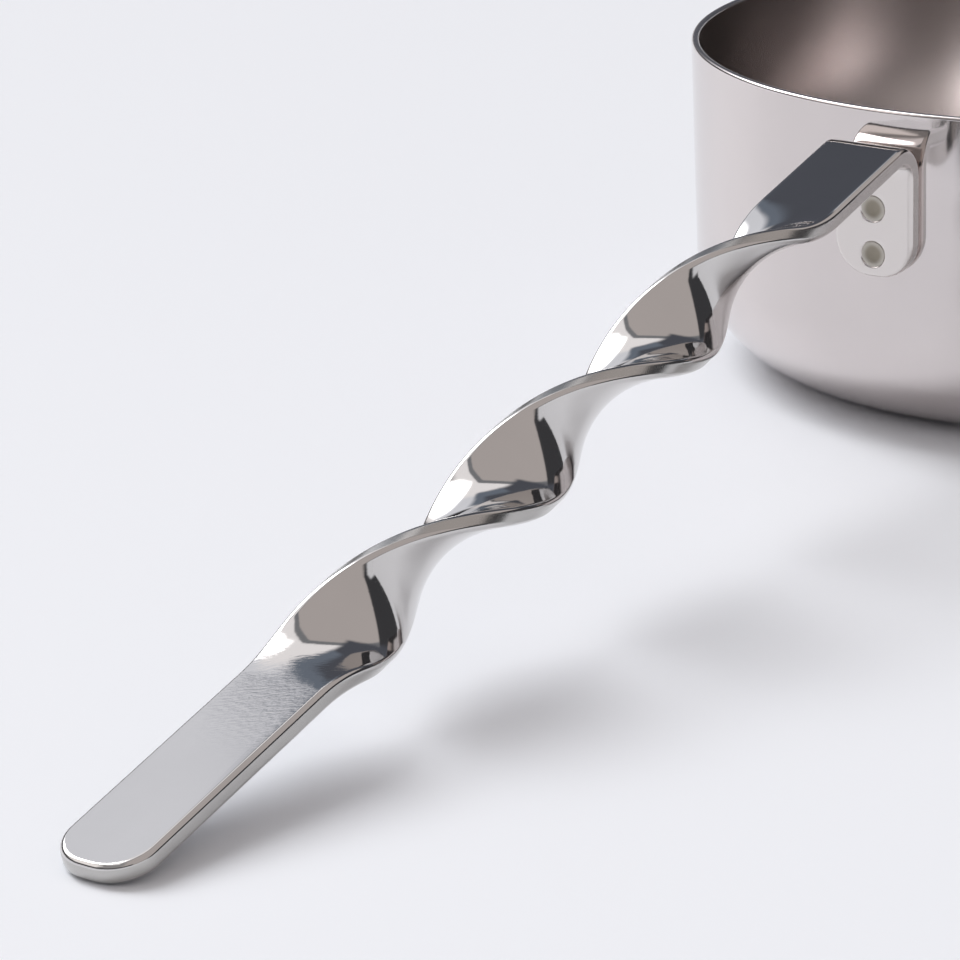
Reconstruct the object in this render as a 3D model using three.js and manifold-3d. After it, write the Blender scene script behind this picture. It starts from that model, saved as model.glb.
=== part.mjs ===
// Metal scoop: a deep-drawn cup with a twisted flat-bar handle, joined by two spot welds.
// Millimetres. +Z runs up the cup's axis from the centre of its base, and the handle points along +X.

import * as THREE from 'three';
import { mergeVertices } from 'three/addons/utils/BufferGeometryUtils.js';
import Module from 'manifold-3d';

// Cup
const CUP_RIM_RADIUS = 36;
const CUP_HEIGHT = 32;
const CUP_WALL = 0.8;
const CUP_DRAFT = THREE.MathUtils.degToRad(1.5);
const CUP_CORNER_RADIUS = 11;
const CUP_SEGMENTS = 80;
const CUP_CORNER_STEPS = 7;
const RIM_STEPS = 4;

// Flat bar of the handle
const STRIP_WIDTH = 8;
const STRIP_THICKNESS = 1.7;
const STRIP_EDGE_RADIUS = 0.5;
const STRIP_END_RADIUS = 3.5;
const STRIP_END_STEPS = 7;

// Handle: tab on the wall, bend, straight neck, twist and flat grip
const TIP_REACH = 151;
const TAB_LENGTH = 12.9;
const BEND_BELOW_RIM = 2.5;
const BEND_INNER_RADIUS = 1.5;
const BEND_STEPS = 10;
const NECK_LENGTH = 11.3;
const GRIP_LENGTH = 24.4;
const TWIST_HALF_TURNS = 3;
const TWIST_EASE = 6;
const TWIST_STEPS = 84;

// Spot welds, measured up from the end of the tab
const WELD_DIAMETER = 2.4;
const WELD_LOWER_HEIGHT = 2.2;
const WELD_SPACING = 4.3;
const WELD_DISH = 0.15;
const WELD_SEGMENTS = 24;

// Clearance where one piece seats on another
const SEAT_GAP = 0.3;

const wasm = await Module();
wasm.setup();

// Strips a geometry to its shared vertices and drops triangles that have no area.
function closedGeometry(geometry) {
  const bare = geometry.clone();
  bare.deleteAttribute('normal');
  bare.deleteAttribute('uv');
  const merged = mergeVertices(bare, 1e-5);
  const corners = merged.index.array;
  const kept = [];
  for (let i = 0; i < corners.length; i += 3) {
    const [a, b, c] = corners.slice(i, i + 3);
    if (a !== b && b !== c && c !== a) kept.push(a, b, c);
  }
  merged.setIndex(kept);
  return merged;
}

// Turns a closed geometry into a solid that can be joined and cut.
function solidOf(geometry) {
  const closed = closedGeometry(geometry);
  return new wasm.Manifold(new wasm.Mesh({
    numProp: 3,
    vertProperties: Float32Array.from(closed.attributes.position.array),
    triVerts: Uint32Array.from(closed.index.array),
  }));
}

// Turns a solid back into a geometry.
function geometryOf(solid) {
  const mesh = solid.getMesh();
  const geometry = new THREE.BufferGeometry();
  geometry.setAttribute('position', new THREE.BufferAttribute(mesh.vertProperties, 3));
  geometry.setIndex(new THREE.BufferAttribute(mesh.triVerts, 1));
  geometry.computeVertexNormals();
  return geometry;
}

// Points of an arc in the plane of radius and height.
function arcPoints(centreX, centreY, radius, fromAngle, toAngle, steps) {
  const points = [];
  for (let i = 0; i <= steps; i++) {
    const angle = THREE.MathUtils.lerp(fromAngle, toAngle, i / steps);
    points.push(new THREE.Vector2(centreX + radius * Math.cos(angle), centreY + radius * Math.sin(angle)));
  }
  return points;
}

// Radius of the outside wall at a height.
function wallRadius(height) {
  return CUP_RIM_RADIUS - (CUP_HEIGHT - height) * Math.tan(CUP_DRAFT);
}

// Cup: flat base, round corner, drafted wall and a rim rounded over its thickness.
function cupGeometry() {
  const cornerX = wallRadius(CUP_CORNER_RADIUS) - CUP_CORNER_RADIUS / Math.cos(CUP_DRAFT);
  const rimRadius = CUP_WALL / 2;
  const rimHeight = CUP_HEIGHT - rimRadius;
  const rimX = wallRadius(rimHeight) - rimRadius / Math.cos(CUP_DRAFT);
  const floorAngle = -Math.PI / 2;
  const wallAngle = -CUP_DRAFT;
  const innerCorner = CUP_CORNER_RADIUS - CUP_WALL;
  const profile = [
    new THREE.Vector2(0, 0),
    ...arcPoints(cornerX, CUP_CORNER_RADIUS, CUP_CORNER_RADIUS, floorAngle, wallAngle, CUP_CORNER_STEPS),
    ...arcPoints(rimX, rimHeight, rimRadius, wallAngle, wallAngle + Math.PI, RIM_STEPS),
    ...arcPoints(cornerX, CUP_CORNER_RADIUS, innerCorner, wallAngle, floorAngle, CUP_CORNER_STEPS),
    new THREE.Vector2(0, CUP_WALL),
  ];
  const geometry = new THREE.LatheGeometry(profile, CUP_SEGMENTS);
  geometry.rotateX(Math.PI / 2);
  return closedGeometry(geometry);
}

// Handle path in the plane y = 0. The tab lies along the wall, and the slope lets the tip touch the table.
const bendRadius = BEND_INNER_RADIUS + STRIP_THICKNESS / 2;
const crownHeight = CUP_HEIGHT - BEND_BELOW_RIM;
const bendHeight = crownHeight - bendRadius - STRIP_THICKNESS / 2;
const bendOffset = SEAT_GAP + STRIP_THICKNESS / 2 + bendRadius;
const bendCentre = new THREE.Vector3(wallRadius(bendHeight) + bendOffset / Math.cos(CUP_DRAFT), 0, bendHeight);
const tipRun = TIP_REACH - bendCentre.x;
const handleSlope = Math.atan2(bendHeight, tipRun)
  + Math.asin(BEND_INNER_RADIUS / Math.hypot(tipRun, bendHeight));
const handleDirection = new THREE.Vector3(Math.cos(handleSlope), 0, -Math.sin(handleSlope));
const handleNormal = new THREE.Vector3(Math.sin(handleSlope), 0, Math.cos(handleSlope));
const tabDirection = new THREE.Vector3(Math.sin(CUP_DRAFT), 0, Math.cos(CUP_DRAFT));
const tabNormal = new THREE.Vector3(-Math.cos(CUP_DRAFT), 0, Math.sin(CUP_DRAFT));
const bendStart = bendCentre.clone().addScaledVector(tabNormal, bendRadius);
const bendEnd = bendCentre.clone().addScaledVector(handleNormal, bendRadius);
const bendAngle = Math.PI / 2 - CUP_DRAFT + handleSlope;
const bendLength = bendAngle * bendRadius;
const tabStraight = TAB_LENGTH - (crownHeight - bendHeight);
const tipCentre = new THREE.Vector3(TIP_REACH, 0, 0).addScaledVector(handleNormal, STRIP_THICKNESS / 2);
const handleLength = tipCentre.distanceTo(bendEnd);
const twistLength = handleLength - NECK_LENGTH - GRIP_LENGTH;
const stripLength = tabStraight + bendLength + handleLength;
const twistStart = tabStraight + bendLength + NECK_LENGTH;

// Point and outer normal of the bar's centre line at a distance from the end of the tab.
function pathAt(distance) {
  if (distance <= tabStraight) {
    const point = bendStart.clone().addScaledVector(tabDirection, distance - tabStraight);
    return { point, normal: tabNormal.clone() };
  }
  if (distance <= tabStraight + bendLength) {
    const turn = (distance - tabStraight) / bendRadius;
    const normal = tabNormal.clone().applyAxisAngle(new THREE.Vector3(0, 1, 0), turn);
    return { point: bendCentre.clone().addScaledVector(normal, bendRadius), normal };
  }
  const run = distance - tabStraight - bendLength;
  return { point: bendEnd.clone().addScaledVector(handleDirection, run), normal: handleNormal.clone() };
}

// Twist of the bar at a distance: the rate builds up and dies away over TWIST_EASE.
function twistAt(distance) {
  const run = THREE.MathUtils.clamp(distance - twistStart, 0, twistLength);
  const left = twistLength - run;
  const steady = twistLength - TWIST_EASE;
  let turned = run - TWIST_EASE / 2;
  if (run < TWIST_EASE) turned = run * run / (2 * TWIST_EASE);
  if (left < TWIST_EASE) turned = steady - left * left / (2 * TWIST_EASE);
  return TWIST_HALF_TURNS * Math.PI * turned / steady;
}

// Share of the full width that the rounded ends leave at a distance.
function widthShare(distance) {
  const fromEnd = Math.min(distance, stripLength - distance);
  if (fromEnd >= STRIP_END_RADIUS) return 1;
  const inward = STRIP_END_RADIUS - fromEnd;
  const lost = STRIP_END_RADIUS - Math.sqrt(STRIP_END_RADIUS ** 2 - inward ** 2);
  return 1 - lost / (STRIP_WIDTH / 2);
}

// Distances of the bar's cross-sections: close together in the round ends, the bend and the twist.
function stripStations() {
  const stations = [];
  for (let i = 0; i < STRIP_END_STEPS; i++) {
    const angle = Math.PI / 2 * i / STRIP_END_STEPS;
    stations.push(STRIP_END_RADIUS * (1 - Math.cos(angle)));
  }
  const tipStations = stations.map((distance) => stripLength - distance).reverse();
  stations.push(STRIP_END_RADIUS);
  for (let i = 0; i <= BEND_STEPS; i++) stations.push(tabStraight + bendLength * i / BEND_STEPS);
  for (let i = 0; i <= TWIST_STEPS; i++) stations.push(twistStart + twistLength * i / TWIST_STEPS);
  stations.push(stripLength - STRIP_END_RADIUS, ...tipStations);
  return stations;
}

// Cross-section of the bar: a rectangle with rounded edges.
function stripSection() {
  const halfWidth = STRIP_WIDTH / 2 - STRIP_EDGE_RADIUS;
  const halfThickness = STRIP_THICKNESS / 2 - STRIP_EDGE_RADIUS;
  const section = new THREE.Shape();
  section.absarc(halfWidth, halfThickness, STRIP_EDGE_RADIUS, 0, Math.PI / 2);
  section.absarc(-halfWidth, halfThickness, STRIP_EDGE_RADIUS, Math.PI / 2, Math.PI);
  section.absarc(-halfWidth, -halfThickness, STRIP_EDGE_RADIUS, Math.PI, 1.5 * Math.PI);
  section.absarc(halfWidth, -halfThickness, STRIP_EDGE_RADIUS, 1.5 * Math.PI, 2 * Math.PI);
  section.closePath();
  return section;
}

// Handle bar: the section swept along the path, narrowed at its ends and turned by the twist.
function stripGeometry() {
  const stations = stripStations();
  const steps = stations.length - 1;
  const options = { steps, depth: steps, bevelEnabled: false, curveSegments: 1 };
  const geometry = new THREE.ExtrudeGeometry(stripSection(), options);
  const position = geometry.attributes.position;
  const sideways = new THREE.Vector3(0, 1, 0);
  for (let i = 0; i < position.count; i++) {
    const distance = stations[Math.round(position.getZ(i))];
    const { point, normal } = pathAt(distance);
    const along = new THREE.Vector3().crossVectors(sideways, normal);
    const turn = twistAt(distance);
    const across = sideways.clone().applyAxisAngle(along, turn);
    const outward = normal.clone().applyAxisAngle(along, turn);
    point.addScaledVector(across, position.getX(i) * widthShare(distance));
    point.addScaledVector(outward, position.getY(i));
    position.setXYZ(i, point.x, point.y, point.z);
  }
  return geometry;
}

// A cylinder square to the tab at a height above its end, between two depths from the bar's middle to the wall.
function tabCylinder(radius, height, fromDepth, toDepth) {
  const geometry = new THREE.CylinderGeometry(radius, radius, toDepth - fromDepth, WELD_SEGMENTS);
  const { point, normal } = pathAt(height);
  point.addScaledVector(normal, (fromDepth + toDepth) / 2);
  geometry.applyQuaternion(new THREE.Quaternion().setFromUnitVectors(new THREE.Vector3(0, 1, 0), normal));
  geometry.translate(point.x, point.y, point.z);
  return geometry;
}

const polishedSteel = new THREE.MeshStandardMaterial({ color: 0xc6c6ca, roughness: 0.12, metalness: 1 });
const barSteel = new THREE.MeshStandardMaterial({ color: 0xbdbcbf, roughness: 0.16, metalness: 1 });
const weldSteel = new THREE.MeshStandardMaterial({ color: 0x8d8577, roughness: 0.4, metalness: 1 });

const weldHeights = {
  spot_weld_lower: WELD_LOWER_HEIGHT,
  spot_weld_upper: WELD_LOWER_HEIGHT + WELD_SPACING,
};
const scoop = new THREE.Group();

function addPiece(name, geometry, material) {
  const piece = new THREE.Mesh(geometry, material);
  piece.name = name;
  scoop.add(piece);
}

addPiece('cup', cupGeometry(), polishedSteel);

let bar = solidOf(stripGeometry());
for (const [name, height] of Object.entries(weldHeights)) {
  const seat = tabCylinder(WELD_DIAMETER / 2 + SEAT_GAP, height, -STRIP_THICKNESS, STRIP_THICKNESS);
  bar = bar.subtract(solidOf(seat));
  const slug = tabCylinder(WELD_DIAMETER / 2, height, WELD_DISH - STRIP_THICKNESS / 2, STRIP_THICKNESS / 2);
  addPiece(name, closedGeometry(slug), weldSteel);
}
addPiece('handle_bar', geometryOf(bar), barSteel);

export default scoop;
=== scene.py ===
"""Metal scoop: a polished steel cup with a twisted flat-bar handle, held to the wall by two spot welds."""

import math
from collections import namedtuple

import bmesh
import bpy
from bpy.props import FloatProperty, FloatVectorProperty, IntProperty, PointerProperty
from mathutils import Matrix, Vector


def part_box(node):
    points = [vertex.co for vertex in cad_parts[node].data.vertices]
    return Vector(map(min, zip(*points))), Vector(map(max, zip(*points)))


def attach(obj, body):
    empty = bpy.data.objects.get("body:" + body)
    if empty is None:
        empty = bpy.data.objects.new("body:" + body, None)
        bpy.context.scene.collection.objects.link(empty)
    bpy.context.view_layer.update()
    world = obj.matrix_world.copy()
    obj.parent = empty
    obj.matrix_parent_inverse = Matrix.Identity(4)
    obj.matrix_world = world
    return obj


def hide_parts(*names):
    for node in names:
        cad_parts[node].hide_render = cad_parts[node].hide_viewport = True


bl_info = {
    "name": "Metal Scoop",
    "version": (1, 0, 0),
    "blender": (4, 5, 0),
    "location": "View3D > Sidebar > Scoop",
    "description": "Builds a steel measuring scoop with a twisted handle, and its studio",
    "category": "Add Mesh",
}

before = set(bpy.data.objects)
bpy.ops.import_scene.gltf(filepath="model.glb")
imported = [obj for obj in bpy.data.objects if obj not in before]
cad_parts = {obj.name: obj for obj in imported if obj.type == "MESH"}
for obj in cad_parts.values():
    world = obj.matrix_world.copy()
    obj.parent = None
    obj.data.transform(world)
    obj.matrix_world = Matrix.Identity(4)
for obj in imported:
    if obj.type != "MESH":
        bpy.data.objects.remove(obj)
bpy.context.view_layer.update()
CUP_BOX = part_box("cup")

MM = 0.001

# Distances in metres: a cut's snap to a vertex, places that are the same, and places that differ.
SNAP = 1e-7
SAME = 1e-6
APART = 1e-5


# Sizes and colours

def length(name, description, default):
    """A size in metres."""
    return FloatProperty(
        name=name, description=description, default=default, min=0, unit="LENGTH", precision=5)


def angle(name, description, degrees):
    """An angle, written here in degrees."""
    return FloatProperty(name=name, description=description, default=math.radians(degrees), subtype="ANGLE")


def colour(name, description, default):
    """A linear colour."""
    return FloatVectorProperty(
        name=name, description=description, default=default, min=0, max=1, subtype="COLOR")


def share(name, description, default):
    """A number from 0 to 1."""
    return FloatProperty(name=name, description=description, default=default, min=0, max=1, subtype="FACTOR")


class ScoopCupSizes(bpy.types.PropertyGroup):
    """Sizes of the drawn cup."""

    rim_radius: length("Rim radius", "Outside radius of the cup at its rim", CUP_BOX[1].x)
    height: length("Height", "Height of the cup from the table to its rim", CUP_BOX[1].z)
    wall: length("Wall", "Thickness of the cup's steel", 0.8 * MM)
    draft: angle("Draft", "Lean of the wall that lets the cup leave its die", 1.5)
    corner_radius: length("Corner radius", "Outside radius between base and wall", 11 * MM)
    segments: IntProperty(name="Segments", description="Steps round the cup", default=160, min=12)


class ScoopBarSizes(bpy.types.PropertyGroup):
    """Sizes of the flat bar and of its bend and twist."""

    width: length("Width", "Width of the flat bar", 8 * MM)
    thickness: length("Thickness", "Thickness of the flat bar", 1.7 * MM)
    edge_radius: length("Edge radius", "Rounding of the bar's long edges", 0.5 * MM)
    end_radius: length("End radius", "Rounding of the bar's ends, seen from above", 3.5 * MM)
    tip_reach: length("Tip reach", "Distance from the cup's axis to where the tip meets the table", 151 * MM)
    tab_length: length("Tab length", "Height of the tab from its end to the top of the bend", 12.9 * MM)
    bend_below_rim: length("Bend below rim", "Drop from the rim to the top of the bend", 2.5 * MM)
    bend_inner_radius: length("Bend inner radius", "Inside radius of the bend", 1.5 * MM)
    neck_length: length("Neck length", "Straight bar between the bend and the twist", 11.3 * MM)
    grip_length: length("Grip length", "Straight bar between the twist and the tip", 24.4 * MM)
    half_turns: IntProperty(name="Half turns", description="Half turns of the twist", default=3, min=0)
    twist_ease: length("Twist ease", "Length over which the twist starts and ends", 6 * MM)
    seat_gap: length("Seat gap", "Clearance between the tab and the wall", 0.02 * MM)


class ScoopWeldSizes(bpy.types.PropertyGroup):
    """Sizes of the two spot welds."""

    diameter: length("Diameter", "Diameter of a weld spot", 2.4 * MM)
    lower_height: length("Lower height", "Height of the lower weld above the end of the tab", 2.2 * MM)
    spacing: length("Spacing", "Distance between the two welds", 4.3 * MM)
    dish: length("Dish", "Depth that the electrode pressed into the bar", 0.15 * MM)


class ScoopFinish(bpy.types.PropertyGroup):
    """Colours and polish of the steel."""

    cup_colour: colour("Cup", "Polished steel of the cup", (0.67, 0.622, 0.612))
    bar_colour: colour("Bar", "Polished steel of the bar", (0.64, 0.625, 0.615))
    tab_colour: colour("Tab", "Straw tint that the welding heat left on the tab", (0.70, 0.66, 0.64))
    edge_colour: colour("Cut edge", "Duller steel on the bar's cut edges", (0.53, 0.52, 0.505))
    weld_colour: colour("Weld", "Heat-tinted steel of the weld spots", (0.30, 0.27, 0.22))
    weld_edge_colour: colour("Weld edge", "Lighter heat tint at the edge of a weld", (0.52, 0.49, 0.44))
    inside_colour: colour("Inside", "Satin steel inside the cup", (0.64, 0.60, 0.59))
    polish: share("Polish", "Roughness of the polished faces", 0.06)
    satin: share("Satin", "Roughness inside the cup", 0.2)
    cut_edge: share("Cut edge roughness", "Roughness of the bar's cut edges", 0.24)
    weld_roughness: share("Weld roughness", "Roughness of the weld spots", 0.38)


class ScoopStage(bpy.types.PropertyGroup):
    """Camera, floor and studio."""

    camera_place: FloatVectorProperty(
        name="Camera place", description="Place of the camera", subtype="XYZ", unit="LENGTH",
        default=(355.003 * MM, 175.46 * MM, 120.454 * MM))
    camera_heading: angle("Camera heading", "From the cup to the camera, turning from +X to +Y", 34.632)
    camera_pitch: angle("Camera pitch", "How far the camera looks down", 18.751)
    camera_roll: angle("Camera roll", "How far the camera leans over clockwise", 1.119)
    camera_lens: FloatProperty(name="Lens", description="Focal length in millimetres", default=154.28, min=1)
    floor_colour: colour("Floor", "Pale table top", (0.875, 0.9, 0.94))
    floor_radius: length("Floor radius", "Radius of the round table top", 3.0)


def sizes(context):
    """The scene's settings for this object."""
    return context.scene.scoop


class ScoopSettings(bpy.types.PropertyGroup):
    """Everything a user would change."""

    cup: PointerProperty(type=ScoopCupSizes)
    bar: PointerProperty(type=ScoopBarSizes)
    weld: PointerProperty(type=ScoopWeldSizes)
    finish: PointerProperty(type=ScoopFinish)
    stage: PointerProperty(type=ScoopStage)


# Shape of the handle

def wall_radius(cup, height):
    """Outside radius of the cup's wall at a height."""
    return cup.rim_radius - (cup.height - height) * math.tan(cup.draft)


class BarPath:
    """The bar's centre line from the end of the tab to the tip, with its turn at each distance."""

    def __init__(self, cup, bar):
        self.bend_radius = bar.bend_inner_radius + bar.thickness / 2
        crown = cup.height - bar.bend_below_rim
        bend_height = crown - self.bend_radius - bar.thickness / 2
        offset = bar.seat_gap + bar.thickness / 2 + self.bend_radius
        bend_x = wall_radius(cup, bend_height) + offset / math.cos(cup.draft)
        self.bend_centre = Vector((bend_x, 0, bend_height))
        run = bar.tip_reach - bend_x
        slope = math.atan2(bend_height, run) + math.asin(bar.bend_inner_radius / math.hypot(run, bend_height))
        self.handle_normal = Vector((math.sin(slope), 0, math.cos(slope)))
        self.tab_normal = Vector((-math.cos(cup.draft), 0, math.sin(cup.draft)))
        self.tab_straight = bar.tab_length - (crown - bend_height)
        self.bend_length = (math.pi / 2 - cup.draft + slope) * self.bend_radius
        tip = Vector((bar.tip_reach, 0, 0)) + self.handle_normal * bar.thickness / 2
        bend_end = self.bend_centre + self.handle_normal * self.bend_radius
        handle_length = (tip - bend_end).length
        self.neck_start = self.tab_straight + self.bend_length
        self.twist_start = self.neck_start + bar.neck_length
        self.twist_length = handle_length - bar.neck_length - bar.grip_length
        self.twist_end = self.twist_start + self.twist_length
        self.twist_ease = bar.twist_ease
        self.twist_angle = bar.half_turns * math.pi
        self.length = self.neck_start + handle_length

    def turn(self, distance):
        """Twist of the bar: the rate builds up and dies away over the ease."""
        run = min(max(distance - self.twist_start, 0), self.twist_length)
        left = self.twist_length - run
        steady = self.twist_length - self.twist_ease
        turned = run - self.twist_ease / 2
        if run < self.twist_ease:
            turned = run * run / (2 * self.twist_ease)
        if left < self.twist_ease:
            turned = steady - left * left / (2 * self.twist_ease)
        return self.twist_angle * turned / steady

    def placing(self, distance):
        """Matrix that takes a section of the straight bar at x = distance to its place."""
        normal = self.tab_normal.copy()
        bent = min(max(distance - self.tab_straight, 0), self.bend_length) / self.bend_radius
        normal.rotate(Matrix.Rotation(bent, 3, "Y"))
        sideways = Vector((0, 1, 0))
        along = sideways.cross(normal)
        straight = distance - min(max(distance, self.tab_straight), self.neck_start)
        point = self.bend_centre + normal * self.bend_radius + along * straight
        basis = Matrix((along, sideways, normal)).transposed().to_4x4()
        twist = Matrix.Rotation(self.turn(distance), 4, "X")
        return Matrix.Translation(point) @ basis @ twist @ Matrix.Translation((-distance, 0, 0))


# Mesh helpers

def cut_across(bm, place, normal, keep=lambda face: True):
    """Cuts the faces that keep accepts along a plane."""
    faces = [face for face in bm.faces if keep(face)]
    edges = {edge for face in faces for edge in face.edges}
    verts = {vert for face in faces for vert in face.verts}
    geometry = list(verts) + list(edges) + faces
    bmesh.ops.bisect_plane(bm, geom=geometry, dist=SNAP, plane_co=place, plane_no=normal)
    bm.normal_update()


def round_edges(bm, edges, radius, segments):
    """Rounds edges over to a radius."""
    bmesh.ops.bevel(
        bm, geom=edges, offset=radius, offset_type="OFFSET", affect="EDGES",
        segments=segments, profile=0.5, material=-1, clamp_overlap=False)


def steps_between(start, end, count):
    """Even steps from start to end, both among them."""
    return [start + (end - start) * i / count for i in range(count + 1)]


def make_piece(name, bm, materials):
    """Turns a bmesh into a smooth object at the origin."""
    mesh = bpy.data.meshes.new(name)
    bm.to_mesh(mesh)
    bm.free()
    if not mesh.polygons:
        raise RuntimeError(f"{name} has no faces")
    for material in materials:
        mesh.materials.append(material)
    mesh.shade_smooth()
    piece = bpy.data.objects.new(name, mesh)
    bpy.context.scene.collection.objects.link(piece)
    return piece


def even_normals(piece):
    """Lets the broad flat faces set the shading beside the rounded edges."""
    modifier = piece.modifiers.new("even_normals", "WEIGHTED_NORMAL")
    modifier.keep_sharp = True
    modifier.weight = 80


def stand_for(piece, node):
    """Puts a piece in the place of a CAD node."""
    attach(piece, "root")
    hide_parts(node)


# Materials

# Marks on a steel: lines to a metre along each axis, size of the clouds, how far the roughness changes
# and depth of the relief in metres.
Marks = namedtuple("Marks", "lines cloud_size roughness_change relief")

CUP_OUTSIDE_MARKS = Marks((420, 420, 18), 9 * MM, 0.05, 4e-6)
CUP_INSIDE_MARKS = Marks((300, 300, 10), 14 * MM, 0.04, 0.3e-6)
BAR_MARKS = Marks((90, 5200, 1), 6 * MM, 0.05, 14e-6)
CUT_EDGE_MARKS = Marks((4200, 300, 1), 3 * MM, 0.12, 5e-6)
WELD_MARKS = Marks((2500, 2500, 1), 0.7 * MM, 0.15, 8e-6)

# Noise of the lines and clouds, and the darkest and lightest cloud as parts of a steel's colour.
LINE_DETAIL = 4.0
LINE_ROUGHNESS = 0.65
CLOUD_DETAIL = 3.0
CLOUD_DARK = 0.96
CLOUD_LIGHT = 1.04

# Crinkle of the stretched skin: slant, size along and across the slant, and where it starts and stops,
# measured from the end of the twist. The rolling lines have a small part of its relief.
CRINKLE_SLANT = math.radians(-50)
CRINKLE_SIZE = (0.8 * MM, 0.22 * MM)
CRINKLE_DETAIL = 3.0
CRINKLE_START = (-6 * MM, -1 * MM)
CRINKLE_STOP = (12 * MM, 2 * MM)
LINE_SHARE = 0.06

# Heat tint of a weld: end of its middle and start of its edge as parts of the radius, and its darkest patch.
WELD_MIDDLE = 0.45
WELD_EDGE = 0.95
WELD_PATCH = 0.8
WHITE = (1, 1, 1)

# Sockets of a colour Mix node.
MIX_FIRST = 6
MIX_SECOND = 7
MIX_RESULT = 2


def feed(tree, socket, value):
    """Links a socket to another one, or sets its value."""
    if isinstance(value, bpy.types.NodeSocket):
        tree.links.new(value, socket)
    else:
        socket.default_value = value


def add_node(tree, kind, inputs=None, **settings):
    """Adds a node, with values or links on its inputs."""
    node = tree.nodes.new(kind)
    for name, value in settings.items():
        setattr(node, name, value)
    for key, value in (inputs or {}).items():
        feed(tree, node.inputs[key], value)
    return node


def math_node(tree, operation, *values):
    """A Math node's result."""
    return add_node(tree, "ShaderNodeMath", dict(enumerate(values)), operation=operation).outputs[0]


def smooth_ramp(tree, value, low, high):
    """A smooth change from 0 at one limit to 1 at the other."""
    inputs = {"Value": value, "From Min": low, "From Max": high}
    return add_node(tree, "ShaderNodeMapRange", inputs, interpolation_type="SMOOTHSTEP").outputs["Result"]


def mix_colours(tree, factor, first, second, blend="MIX"):
    """Two colours mixed by a factor."""
    inputs = {"Factor": factor, MIX_FIRST: first, MIX_SECOND: second}
    return add_node(tree, "ShaderNodeMix", inputs, data_type="RGBA", blend_type=blend).outputs[MIX_RESULT]


def new_group(name, inputs, outputs):
    """A shader node group with named sockets: its tree, its inputs' sockets and its outputs' sockets."""
    tree = bpy.data.node_groups.new(name, "ShaderNodeTree")
    for label, kind, default in inputs:
        socket = tree.interface.new_socket(name=label, in_out="INPUT", socket_type="NodeSocket" + kind)
        if default is not None:
            socket.default_value = default
    for label, kind in outputs:
        tree.interface.new_socket(name=label, in_out="OUTPUT", socket_type="NodeSocket" + kind)
    entry = tree.nodes.new("NodeGroupInput")
    leave = tree.nodes.new("NodeGroupOutput")
    return tree, entry.outputs, leave.inputs


def use_group(tree, group, inputs):
    """Places a node group in a tree."""
    return add_node(tree, "ShaderNodeGroup", inputs, node_tree=group).outputs


def noise(tree, place, scale, detail, roughness=0.5):
    """A noise value from 0 to 1."""
    inputs = {"Vector": place, "Scale": scale, "Detail": detail, "Roughness": roughness}
    return add_node(tree, "ShaderNodeTexNoise", inputs).outputs[0]


def stretched(tree, place, scale):
    """A place scaled differently along each axis."""
    return add_node(tree, "ShaderNodeVectorMath", {0: place, 1: scale}, operation="MULTIPLY").outputs[0]


def polish_group():
    """Fine lines along one direction with a cloudy change of polish, shared by all the steel."""
    existing = bpy.data.node_groups.get("steel_polish")
    if existing:
        return existing
    tree, given, result = new_group(
        "steel_polish",
        [("Place", "Vector", None), ("Line stretch", "Vector", (1, 1, 1)), ("Cloud size", "Float", 0.01),
         ("Roughness", "Float", 0.1), ("Roughness change", "Float", 0.02)],
        [("Lines", "Float"), ("Roughness", "Float"), ("Cloud", "Float")])
    line_place = stretched(tree, given["Place"], given["Line stretch"])
    lines = noise(tree, line_place, 1.0, LINE_DETAIL, LINE_ROUGHNESS)
    cloud = noise(tree, given["Place"], math_node(tree, "DIVIDE", 1.0, given["Cloud size"]), CLOUD_DETAIL)
    halves = (math_node(tree, "MULTIPLY", value, 0.5) for value in (lines, cloud))
    uneven = math_node(tree, "SUBTRACT", math_node(tree, "ADD", *halves), 0.5)
    change = math_node(tree, "MULTIPLY", uneven, given["Roughness change"])
    tree.links.new(lines, result["Lines"])
    tree.links.new(math_node(tree, "ADD", given["Roughness"], change), result["Roughness"])
    tree.links.new(cloud, result["Cloud"])
    return tree


def polished(tree, place, marks, roughness):
    """The shared polish with a steel's own marks."""
    return use_group(tree, polish_group(), {
        "Place": place, "Line stretch": marks.lines, "Cloud size": marks.cloud_size,
        "Roughness": roughness, "Roughness change": marks.roughness_change})


def new_material(name):
    """A material with its node tree and its Principled BSDF."""
    material = bpy.data.materials.new(name)
    material.use_nodes = True
    return material, material.node_tree, material.node_tree.nodes["Principled BSDF"]


def tinted(tint, amount=1):
    """A colour made lighter or darker, with full alpha."""
    return (*(min(channel * amount, 1) for channel in tint), 1)


def clouded(tree, polish, tint):
    """A colour that turns a little darker and lighter with the clouds."""
    return mix_colours(tree, polish["Cloud"], tinted(tint, CLOUD_DARK), tinted(tint, CLOUD_LIGHT))


def steel_finish(tree, shader, tint, polish, height, relief):
    """Connects a steel's colour, roughness and relief to its shader."""
    bump = add_node(tree, "ShaderNodeBump", {"Height": height, "Distance": relief, "Strength": 1.0})
    feed(tree, shader.inputs["Metallic"], 1)
    feed(tree, shader.inputs["Base Color"], tint)
    feed(tree, shader.inputs["Roughness"], polish["Roughness"])
    feed(tree, shader.inputs["Normal"], bump.outputs["Normal"])


def cup_outside_steel(finish):
    """Mirror polish on the outside of the cup, with faint upright drawing marks."""
    material, tree, shader = new_material("cup_outside")
    place = add_node(tree, "ShaderNodeTexCoord").outputs["Object"]
    polish = polished(tree, place, CUP_OUTSIDE_MARKS, finish.polish)
    tint = clouded(tree, polish, finish.cup_colour)
    steel_finish(tree, shader, tint, polish, polish["Lines"], CUP_OUTSIDE_MARKS.relief)
    return material


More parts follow.
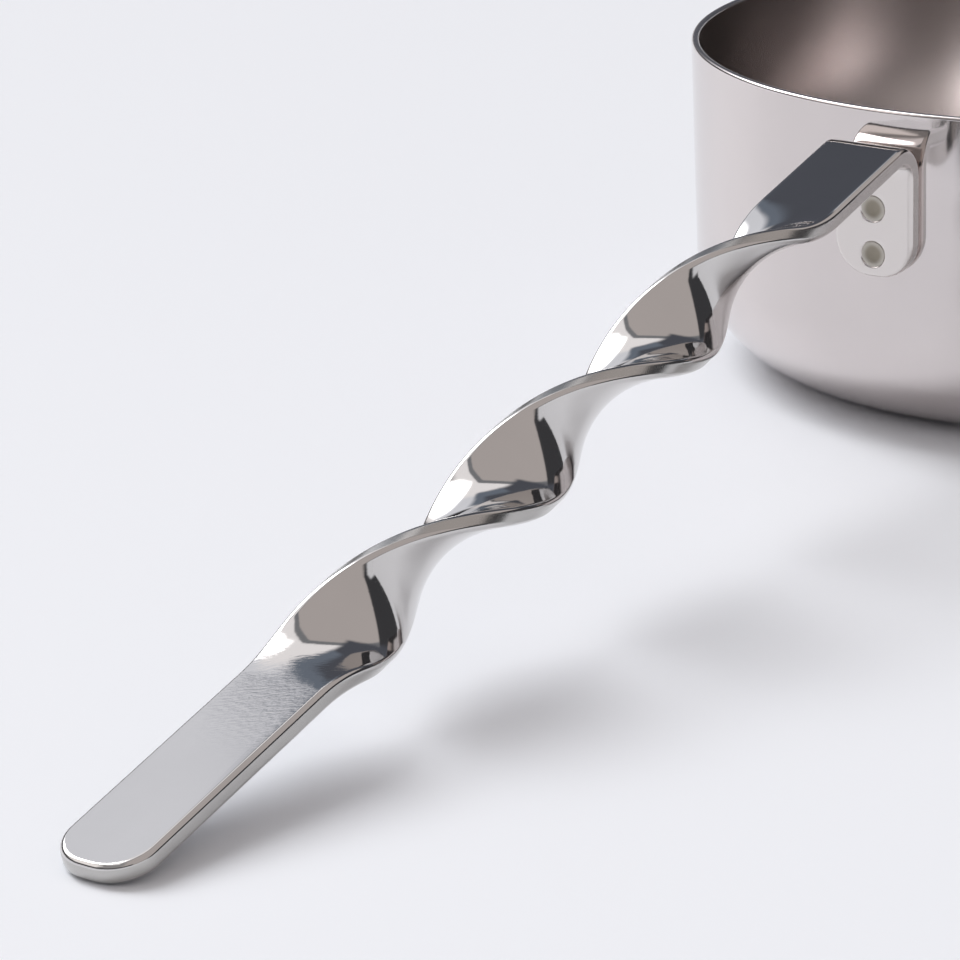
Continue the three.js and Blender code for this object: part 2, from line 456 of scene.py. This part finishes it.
def cup_inside_steel(finish):
    """Satin inside of the cup, with faint lines round it."""
    material, tree, shader = new_material("cup_inside")
    place = add_node(tree, "ShaderNodeTexCoord").outputs["Object"]
    axes = add_node(tree, "ShaderNodeSeparateXYZ", {0: place}).outputs
    flat = add_node(tree, "ShaderNodeCombineXYZ", {0: axes[0], 1: axes[1]}).outputs[0]
    radius = add_node(tree, "ShaderNodeVectorMath", {0: flat}, operation="LENGTH").outputs["Value"]
    round_place = add_node(tree, "ShaderNodeCombineXYZ", {0: radius, 1: axes[2], 2: axes[0]}).outputs[0]
    polish = polished(tree, round_place, CUP_INSIDE_MARKS, finish.satin)
    tint = clouded(tree, polish, finish.inside_colour)
    steel_finish(tree, shader, tint, polish, polish["Lines"], CUP_INSIDE_MARKS.relief)
    return material


def bar_steel(finish, path):
    """Polished bar with rolling lines, a crinkle at the end of the twist and heat tint on the tab."""
    material, tree, shader = new_material("bar_steel")
    place = add_node(tree, "ShaderNodeUVMap", uv_map="along_bar").outputs[0]
    along = add_node(tree, "ShaderNodeSeparateXYZ", {0: place}).outputs[0]
    polish = polished(tree, place, BAR_MARKS, finish.polish)
    turned = add_node(
        tree, "ShaderNodeVectorRotate", {"Vector": place, "Angle": CRINKLE_SLANT}, rotation_type="Z_AXIS")
    crinkle_place = stretched(tree, turned.outputs[0], (1 / CRINKLE_SIZE[0], 1 / CRINKLE_SIZE[1], 1))
    crinkle = noise(tree, crinkle_place, 1.0, CRINKLE_DETAIL)
    starts = smooth_ramp(tree, along, *(path.twist_end + distance for distance in CRINKLE_START))
    stops = smooth_ramp(tree, along, *(path.twist_end + distance for distance in CRINKLE_STOP))
    crinkle = math_node(tree, "MULTIPLY", crinkle, math_node(tree, "MULTIPLY", starts, stops))
    height = math_node(tree, "ADD", math_node(tree, "MULTIPLY", polish["Lines"], LINE_SHARE), crinkle)
    heat = smooth_ramp(tree, along, path.neck_start, path.tab_straight)
    tint = mix_colours(tree, heat, clouded(tree, polish, finish.bar_colour), tinted(finish.tab_colour))
    steel_finish(tree, shader, tint, polish, height, BAR_MARKS.relief)
    return material


def cut_edge_steel(finish):
    """Duller cut edges of the bar, with fine marks across them."""
    material, tree, shader = new_material("cut_edge")
    place = add_node(tree, "ShaderNodeUVMap", uv_map="along_bar").outputs[0]
    polish = polished(tree, place, CUT_EDGE_MARKS, finish.cut_edge)
    tint = clouded(tree, polish, finish.edge_colour)
    steel_finish(tree, shader, tint, polish, polish["Lines"], CUT_EDGE_MARKS.relief)
    return material


def weld_steel(finish, radius):
    """Heat-tinted weld spot, darker in the middle than at its edge."""
    material, tree, shader = new_material("weld_steel")
    place = add_node(tree, "ShaderNodeUVMap", uv_map="from_centre").outputs[0]
    reach = add_node(tree, "ShaderNodeVectorMath", {0: place}, operation="LENGTH").outputs["Value"]
    polish = polished(tree, place, WELD_MARKS, finish.weld_roughness)
    edge = smooth_ramp(tree, reach, radius * WELD_MIDDLE, radius * WELD_EDGE)
    heat = mix_colours(tree, edge, tinted(finish.weld_colour), tinted(finish.weld_edge_colour))
    patches = mix_colours(tree, polish["Cloud"], tinted(WHITE, WELD_PATCH), tinted(WHITE))
    tint = mix_colours(tree, 1.0, heat, patches, "MULTIPLY")
    steel_finish(tree, shader, tint, polish, polish["Lines"], WELD_MARKS.relief)
    return material


# Cup

OUTSIDE = 0
INSIDE = 1


class SCOOP_OT_cup(bpy.types.Operator):
    """Spins the cup's profile, rounds its corner and rim and gives it its wall"""

    bl_idname = "scoop.cup"
    bl_label = "Cup"

    corner_steps = 16
    rim_steps = 6

    # Rounding of the rim as a part of the wall.
    rim_rounding = 0.4

    def execute(self, context):
        cup = sizes(context).cup
        finish = sizes(context).finish
        bm = bmesh.new()
        base = wall_radius(cup, 0)
        points = ((0, 0, 0), (base, 0, 0), (cup.rim_radius, 0, cup.height))
        outline = [bm.verts.new(point) for point in points]
        edges = [bm.edges.new(pair) for pair in zip(outline, outline[1:])]
        bmesh.ops.spin(
            bm, geom=outline + edges, axis=(0, 0, 1), cent=(0, 0, 0), dvec=(0, 0, 0),
            angle=2 * math.pi, steps=cup.segments, use_merge=True)
        bmesh.ops.remove_doubles(bm, verts=bm.verts, dist=SAME)
        bmesh.ops.recalc_face_normals(bm, faces=bm.faces)
        corner = [edge for edge in bm.edges if self.is_corner(edge, base)]
        offset = cup.corner_radius * math.tan((math.pi / 2 - cup.draft) / 2)
        round_edges(bm, corner, offset, self.corner_steps)
        outside = set(bm.faces)
        bmesh.ops.solidify(bm, geom=bm.faces[:], thickness=cup.wall)
        for face in bm.faces:
            face.material_index = OUTSIDE if face in outside else INSIDE
        level = cup.height - cup.wall / 2
        top = [edge for edge in bm.edges if all(vert.co.z > level for vert in edge.verts)]
        rim = [edge for edge in top if not self.radial(edge)]
        round_edges(bm, rim, cup.wall * self.rim_rounding, self.rim_steps)
        piece = make_piece("scoop_cup", bm, [cup_outside_steel(finish), cup_inside_steel(finish)])
        even_normals(piece)
        stand_for(piece, "cup")
        return {"FINISHED"}

    @staticmethod
    def radial(edge):
        """True for an edge that crosses the rim from outside to inside."""
        first, second = (vert.co.xy.length for vert in edge.verts)
        return abs(first - second) > APART

    @staticmethod
    def is_corner(edge, base):
        """True for the sharp edges round the base."""
        return all(abs(vert.co.z) < SAME and abs(vert.co.xy.length - base) < APART for vert in edge.verts)


# Handle bar

POLISHED = 0
CUT_EDGE = 1


class SCOOP_OT_handle_bar(bpy.types.Operator):
    """Rounds a straight bar, presses the weld seats into it, then bends and twists it section by section"""

    bl_idname = "scoop.handle_bar"
    bl_label = "Handle bar"

    end_steps = 12
    edge_steps = 6
    bend_steps = 20
    twist_steps = 240
    strips = 8
    seat_cuts = 9
    seat_margin = 0.1 * MM

    # Inset and drop of each step of a seat's wall, as parts of the dish.
    seat_steps = ((1 / 3, 1 / 4), (1 / 3, 3 / 4))

    # Part of a normal that counts as facing along an axis, and the most that a cut edge faces up or down.
    facing = 0.99
    edge_tilt = 0.3

    def execute(self, context):
        settings = sizes(context)
        bar = settings.bar
        path = BarPath(settings.cup, bar)
        bm = self.straight_bar(bar, path)
        self.cut_sections(bm, bar, path)
        for height in weld_heights(settings.weld):
            self.press_seat(bm, bar, path, settings.weld, height)
        self.cut_strips(bm, bar, path)
        self.lay_out(bm)
        self.bend_and_twist(bm, path)
        materials = [bar_steel(settings.finish, path), cut_edge_steel(settings.finish)]
        piece = make_piece("scoop_handle_bar", bm, materials)
        even_normals(piece)
        stand_for(piece, "handle_bar")
        return {"FINISHED"}

    def straight_bar(self, bar, path):
        """A straight bar along +X with rounded ends and edges."""
        bm = bmesh.new()
        stretch = Matrix.Diagonal((path.length, bar.width, bar.thickness, 1))
        bmesh.ops.create_cube(bm, size=1, matrix=Matrix.Translation((path.length / 2, 0, 0)) @ stretch)
        upright = [edge for edge in bm.edges if self.rise(edge) > bar.thickness / 2]
        round_edges(bm, upright, bar.end_radius, self.end_steps)
        level = bar.thickness / 2 - SAME
        rims = [edge for edge in bm.edges if all(vert.co.z > level for vert in edge.verts)]
        rims += [edge for edge in bm.edges if all(vert.co.z < -level for vert in edge.verts)]
        round_edges(bm, rims, bar.edge_radius, self.edge_steps)
        return bm

    @staticmethod
    def rise(edge):
        """Difference in height between an edge's ends."""
        return abs(edge.verts[0].co.z - edge.verts[1].co.z)

    def press_seat(self, bm, bar, path, weld, height):
        """Presses the shallow round seat of a weld into the tab's outer face."""
        seat = seat_radius(weld)
        half = seat + self.seat_margin

        def on_tab(face):
            return face.normal.z < -self.facing and face.calc_center_median().x < path.tab_straight

        for side in (-1, 1):
            cut_across(bm, (height + side * half, 0, 0), (1, 0, 0), on_tab)
            cut_across(bm, (0, side * half, 0), (0, 1, 0), on_tab)
        centre = Vector((height, 0, -bar.thickness / 2))
        patch = min(filter(on_tab, bm.faces), key=lambda face: (face.calc_center_median() - centre).length)
        bmesh.ops.bisect_edges(bm, edges=patch.edges[:], cuts=self.seat_cuts)
        bmesh.ops.inset_individual(bm, faces=[patch], thickness=self.seat_margin / 4, use_even_offset=True)
        for vert in patch.verts:
            vert.co = centre + (vert.co - centre).normalized() * seat
        for inset, drop in self.seat_steps:
            bmesh.ops.inset_individual(
                bm, faces=[patch], thickness=weld.dish * inset, depth=-weld.dish * drop)

    def cut_sections(self, bm, bar, path):
        """Cuts the bar across where it bends and twists."""
        cuts = steps_between(path.tab_straight, path.neck_start, self.bend_steps)
        cuts += steps_between(path.twist_start, path.twist_end, self.twist_steps)
        cuts.append(path.length - bar.end_radius)
        for distance in cuts:
            cut_across(bm, (distance, 0, 0), (1, 0, 0), lambda face: face.normal.x < self.facing)

    def cut_strips(self, bm, bar, path):
        """Cuts the bar lengthwise into strips from the bend to the tip."""
        flat = bar.width - 2 * bar.edge_radius

        def past_tab(face):
            return face.calc_center_median().x > path.tab_straight

        for across in steps_between(-flat / 2, flat / 2, self.strips)[1:-1]:
            cut_across(bm, (0, across, 0), (0, 1, 0), past_tab)

    def lay_out(self, bm):
        """A UV map in metres, along the bar and across it, and the material of the cut edges."""
        layer = bm.loops.layers.uv.new("along_bar")
        bm.normal_update()
        for face in bm.faces:
            face.material_index = CUT_EDGE if abs(face.normal.z) < self.edge_tilt else POLISHED
            for loop in face.loops:
                place = loop.vert.co
                loop[layer].uv = (place.x, place.y + place.z)

    @staticmethod
    def bend_and_twist(bm, path):
        """Moves each section of the straight bar to its place on the path."""
        sections = {}
        for vert in bm.verts:
            sections.setdefault(round(vert.co.x, 8), []).append(vert)
        for distance, verts in sections.items():
            bmesh.ops.transform(bm, matrix=path.placing(distance), space=Matrix.Identity(4), verts=verts)


# Spot welds

WELD_CLEARANCE = 0.1 * MM


def weld_heights(weld):
    """Heights of the two welds above the end of the tab."""
    return weld.lower_height, weld.lower_height + weld.spacing


def seat_radius(weld):
    """Radius of the seat that a weld is pressed into."""
    return weld.diameter / 2 + WELD_CLEARANCE


class SCOOP_OT_spot_welds(bpy.types.Operator):
    """Makes the two dished weld spots in their seats on the tab"""

    bl_idname = "scoop.spot_welds"
    bl_label = "Spot welds"

    segments = 48
    lip_steps = 3

    # Depth and top of a slug and rounding of its lip, as parts of the dish.
    slug_depth = 1.5
    slug_top = 0.75
    lip_rounding = 0.35

    # Width of each ring of the dish as a part of the radius, and its drop as a part of the dish.
    rings = ((0.15, 0), (0.15, 0.2), (0.2, 0.35), (0.25, 0.15))

    def execute(self, context):
        settings = sizes(context)
        weld = settings.weld
        path = BarPath(settings.cup, settings.bar)
        material = weld_steel(settings.finish, weld.diameter / 2)
        for name, height in zip(("lower", "upper"), weld_heights(weld)):
            bm = self.spot(weld)
            under = Matrix.Translation((height, 0, -settings.bar.thickness / 2 + weld.dish))
            facing = Matrix.Rotation(math.pi, 4, "X")
            bmesh.ops.transform(
                bm, matrix=path.placing(height) @ under @ facing, space=Matrix.Identity(4), verts=bm.verts)
            piece = make_piece("scoop_spot_weld_" + name, bm, [material])
            even_normals(piece)
            stand_for(piece, "spot_weld_" + name)
        return {"FINISHED"}

    def spot(self, weld):
        """A low round slug with a lip and a dish, standing on z = 0."""
        bm = bmesh.new()
        radius = weld.diameter / 2
        depth = weld.dish * self.slug_depth
        bmesh.ops.create_cone(
            bm, cap_ends=True, segments=self.segments, radius1=radius, radius2=radius, depth=depth,
            matrix=Matrix.Translation((0, 0, weld.dish * self.slug_top - depth / 2)))
        top = max(bm.faces, key=lambda face: face.calc_center_median().z)
        round_edges(bm, top.edges[:], weld.dish * self.lip_rounding, self.lip_steps)
        top = max(bm.faces, key=lambda face: face.calc_center_median().z)
        for width, drop in self.rings:
            bmesh.ops.inset_individual(bm, faces=[top], thickness=radius * width, depth=-weld.dish * drop)
        layer = bm.loops.layers.uv.new("from_centre")
        for face in bm.faces:
            for loop in face.loops:
                loop[layer].uv = loop.vert.co.xy
        return bm


# Studio

STUDIO_CEILING = (1.1, 1.07, 1.08)
DARK = (0.055, 0.055, 0.06)
BLUE_SHADE = (0.18, 0.21, 0.26)

# A panel with straight edges: directions that its edges face, where it starts as a part of 1, and radiance.
StraightPanel = namedtuple("StraightPanel", "edges start radiance")
STRAIGHT_SOFTNESS = 0.03
CANOPY_EDGES = ((-0.42, 0.905, 0.07), (0.347, 0.906, 0.253))
CANOPY_OUTLINE = StraightPanel(CANOPY_EDGES, -0.08, (0.24, 0.245, 0.26))
CANOPY = StraightPanel(CANOPY_EDGES, 0.0, (0.55, 0.505, 0.49))
DARK_WALL = StraightPanel(((-0.393, 0.143, -0.908),), 0.0, DARK)
STRAIGHT_PANELS = (CANOPY_OUTLINE, CANOPY, DARK_WALL)

# A soft panel: middle of its azimuth, half its width, its lowest and highest elevation and its soft edge in
# degrees, then its radiance. Azimuth runs from +X towards +Y.
SoftPanel = namedtuple("SoftPanel", "middle half_width low high soft_edge radiance")
GREY_WALL = SoftPanel(337, 58, 18, 65, 6, (0.34, 0.33, 0.33))
PALE_SCREEN = SoftPanel(311, 24, 24, 54, 5, (1.2, 1.15, 1.13))
PALE_STRIP = SoftPanel(239, 12, 5, 48, 4, (0.87, 0.885, 0.945))
SKIRTING = SoftPanel(0, 360, 5.5, 9, 2.5, DARK)
LOW_WALL = SoftPanel(300, 120, 5.5, 21, 2.5, DARK)
DOORWAY = SoftPanel(197, 28, 5, 52, 3, (0.095, 0.101, 0.122))
DOORWAY_TOP = SoftPanel(214, 15, 42, 52, 3, BLUE_SHADE)
DOORWAY_SIDE = SoftPanel(225, 4, 25, 52, 3, BLUE_SHADE)
WINDOW = SoftPanel(263, 16, 30, 70, 6, (9.0, 9.0, 9.1))
STUDIO_PANELS = (
    GREY_WALL, PALE_SCREEN, PALE_STRIP, SKIRTING, LOW_WALL, DOORWAY, DOORWAY_TOP, DOORWAY_SIDE, WINDOW)

# Backdrop behind the table's edge, only for the camera, mirrors and glass.
PALE_BACKDROP = SoftPanel(0, 360, -95, 5.5, 1.5, (0.796, 0.798, 0.831))
DARK_BACKDROP = SoftPanel(132, 32, -95, 9, 1.5, DARK)
BACKDROP_PANELS = (PALE_BACKDROP, DARK_BACKDROP)


def glow(radiance):
    """A radiance as a colour with full alpha."""
    return (*radiance, 1)


def straight_mask(tree, direction, panel):
    """Mask of the directions that lie inside all of a panel's straight edges."""
    mask = 1.0
    for edge in panel.edges:
        facing = add_node(tree, "ShaderNodeVectorMath", {0: direction, 1: edge}, operation="DOT_PRODUCT")
        inside = smooth_ramp(tree, facing.outputs["Value"], panel.start, panel.start + STRAIGHT_SOFTNESS)
        mask = math_node(tree, "MULTIPLY", mask, inside)
    return mask


def soft_panel_group():
    """Mask of a soft panel, by direction."""
    existing = bpy.data.node_groups.get("soft_panel")
    if existing:
        return existing
    tree, given, result = new_group(
        "soft_panel",
        [("Direction", "Vector", None), ("Middle", "Float", 0.0), ("Half width", "Float", 1.0),
         ("Low", "Float", 0.0), ("High", "Float", 1.0), ("Soft edge", "Float", 0.1)],
        [("Mask", "Float")])

    def fade(value, limit, outer, inner):
        """0 beyond the soft edge's outer side and 1 within its inner side."""
        ends = (math_node(tree, operation, limit, given["Soft edge"]) for operation in (outer, inner))
        return smooth_ramp(tree, value, *ends)

    axes = add_node(tree, "ShaderNodeSeparateXYZ", {0: given["Direction"]}).outputs
    around = math_node(tree, "SUBTRACT", math_node(tree, "ARCTAN2", axes[1], axes[0]), given["Middle"])
    around = math_node(tree, "ABSOLUTE", math_node(tree, "WRAP", around, math.pi, -math.pi))
    up = math_node(tree, "ARCSINE", axes[2])
    sides = fade(around, given["Half width"], "ADD", "SUBTRACT")
    bottom = fade(up, given["Low"], "SUBTRACT", "ADD")
    top = fade(up, given["High"], "ADD", "SUBTRACT")
    mask = math_node(tree, "MULTIPLY", sides, math_node(tree, "MULTIPLY", bottom, top))
    tree.links.new(mask, result["Mask"])
    return tree


def soft_mask(tree, direction, panel):
    """Mask of a soft panel in the studio's tree."""
    degrees = {
        "Middle": panel.middle, "Half width": panel.half_width, "Low": panel.low, "High": panel.high,
        "Soft edge": panel.soft_edge}
    inputs = {name: math.radians(value) for name, value in degrees.items()}
    return use_group(tree, soft_panel_group(), {"Direction": direction, **inputs})["Mask"]


# Stage

class SCOOP_OT_stage(bpy.types.Operator):
    """Sets the table, the light and the camera"""

    bl_idname = "scoop.stage"
    bl_label = "Stage"

    floor_segments = 96
    floor_roughness = 0.6

    def execute(self, context):
        stage = sizes(context).stage
        self.set_camera(context, stage)
        self.set_floor(stage)
        self.set_light(context)
        context.scene.view_settings.view_transform = "Standard"
        return {"FINISHED"}

    @staticmethod
    def set_camera(context, stage):
        """The camera at the photograph's angle."""
        data = bpy.data.cameras.new("scoop_camera")
        data.sensor_width = 36
        data.lens = stage.camera_lens
        data.clip_start = 0.01
        data.clip_end = 50
        camera = bpy.data.objects.new("scoop_camera", data)
        heading = Matrix.Rotation(math.pi / 2 + stage.camera_heading, 4, "Z")
        pitch = Matrix.Rotation(math.pi / 2 - stage.camera_pitch, 4, "X")
        roll = Matrix.Rotation(-stage.camera_roll, 4, "Z")
        camera.matrix_world = Matrix.Translation(stage.camera_place) @ heading @ pitch @ roll
        context.scene.collection.objects.link(camera)
        context.scene.camera = camera

    def set_floor(self, stage):
        """A round pale table top."""
        bm = bmesh.new()
        bmesh.ops.create_circle(bm, cap_ends=True, segments=self.floor_segments, radius=stage.floor_radius)
        material, _, shader = new_material("table_top")
        shader.inputs["Base Color"].default_value = tinted(stage.floor_colour)
        shader.inputs["Roughness"].default_value = self.floor_roughness
        floor = make_piece("table_top", bm, [material])

    @staticmethod
    def set_light(context):
        """A room of soft panels: a bright window on the left, a pale ceiling and plain walls."""
        world = bpy.data.worlds.new("studio")
        context.scene.world = world
        world.use_nodes = True
        tree = world.node_tree
        direction = add_node(tree, "ShaderNodeTexCoord").outputs["Generated"]
        light = glow(STUDIO_CEILING)
        for panel in STRAIGHT_PANELS:
            mask = straight_mask(tree, direction, panel)
            light = mix_colours(tree, mask, light, glow(panel.radiance))
        for panel in STUDIO_PANELS:
            mask = soft_mask(tree, direction, panel)
            light = mix_colours(tree, mask, light, glow(panel.radiance))
        rays = add_node(tree, "ShaderNodeLightPath").outputs
        seen = math_node(tree, "ADD", rays["Is Camera Ray"], rays["Is Glossy Ray"])
        seen = math_node(tree, "MINIMUM", math_node(tree, "ADD", seen, rays["Is Transmission Ray"]), 1.0)
        for panel in BACKDROP_PANELS:
            mask = math_node(tree, "MULTIPLY", soft_mask(tree, direction, panel), seen)
            light = mix_colours(tree, mask, light, glow(panel.radiance))
        tree.links.new(light, tree.nodes["Background"].inputs["Color"])


# Panel and registration

class SCOOP_PT_sidebar(bpy.types.Panel):
    """Lists the scoop's pieces and their sizes."""

    bl_label = "Metal Scoop"
    bl_idname = "SCOOP_PT_sidebar"
    bl_space_type = "VIEW_3D"
    bl_region_type = "UI"
    bl_category = "Scoop"

    def draw(self, context):
        for operator in OPERATORS:
            self.layout.operator(operator.bl_idname)
        settings = sizes(context)
        for group in (settings.cup, settings.bar, settings.weld, settings.finish, settings.stage):
            box = self.layout.box()
            for name in group.__annotations__:
                box.prop(group, name)


OPERATORS = (SCOOP_OT_stage, SCOOP_OT_cup, SCOOP_OT_handle_bar, SCOOP_OT_spot_welds)
CLASSES = (
    ScoopCupSizes, ScoopBarSizes, ScoopWeldSizes, ScoopFinish, ScoopStage, ScoopSettings,
    *OPERATORS, SCOOP_PT_sidebar,
)


def register():
    for cls in CLASSES:
        bpy.utils.register_class(cls)
    bpy.types.Scene.scoop = PointerProperty(type=ScoopSettings)


def unregister():
    del bpy.types.Scene.scoop
    for cls in reversed(CLASSES):
        bpy.utils.unregister_class(cls)


def main():
    register()
    bpy.ops.scoop.stage()
    bpy.ops.scoop.cup()
    bpy.ops.scoop.handle_bar()
    bpy.ops.scoop.spot_welds()


if __name__ == "__main__":
    main()
